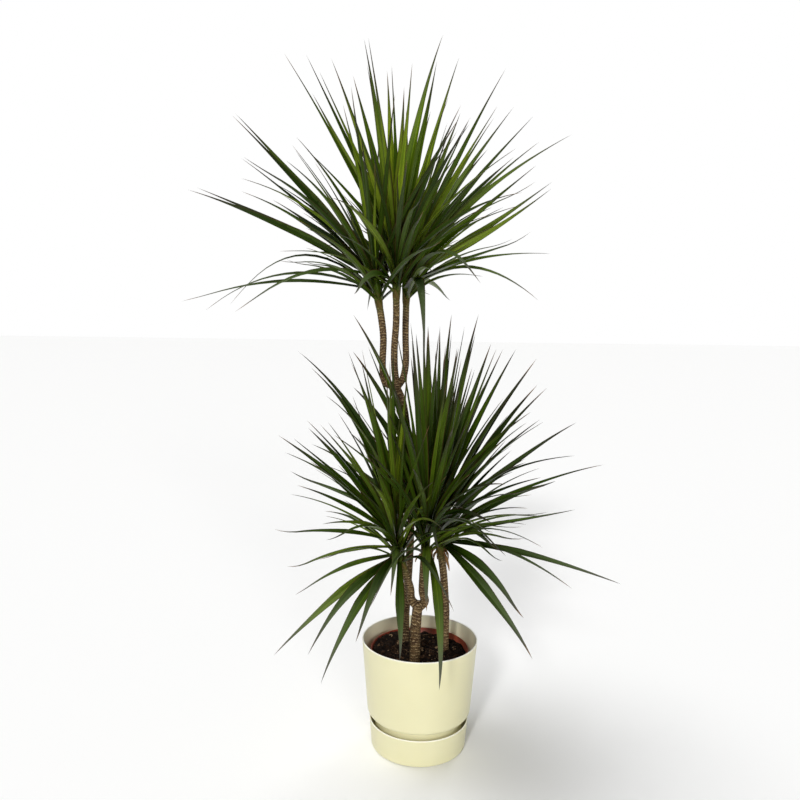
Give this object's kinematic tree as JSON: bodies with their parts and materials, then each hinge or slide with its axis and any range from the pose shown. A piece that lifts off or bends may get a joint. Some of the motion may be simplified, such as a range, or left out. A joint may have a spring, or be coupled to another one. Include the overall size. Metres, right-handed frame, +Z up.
{
  "type": "potted dracaena marginata",
  "caption": "Tall potted dragon tree: bare canes carrying spiky leaf heads above and below, standing in a nursery pot inside a tapering planter on its own deep saucer.",
  "frame": {"origin": "centre of the saucer's flat underside, on the floor", "axes": "+Z up along the pot's axis, -Y towards the viewer of the picture, +X to that viewer's right"},
  "size_m": [0.935, 0.8551, 1.463],
  "materials": {
    "cream_plastic": "smooth cream plastic with a soft sheen",
    "terracotta_plastic": "thin terracotta-red moulded plastic",
    "soil": "dark moist potting soil with bark chips and fibres",
    "cane_bark": "tan-brown bark ringed with darker leaf scars",
    "leaves": "green strap leaves with a waxy sheen and thin reddish edges"
  },
  "bodies": {
    "root": {"saucer": "cream_plastic", "planter": "cream_plastic", "nursery_pot": "terracotta_plastic", "soil": "soil", "cane_tall": "cane_bark", "cane_forked": "cane_bark", "cane_right": "cane_bark", "head_top_left": "leaves", "head_top_middle": "leaves", "head_top_right": "leaves", "head_low_left": "leaves", "head_low_middle": "leaves", "head_low_right": "leaves"}
  },
  "joints": []
}
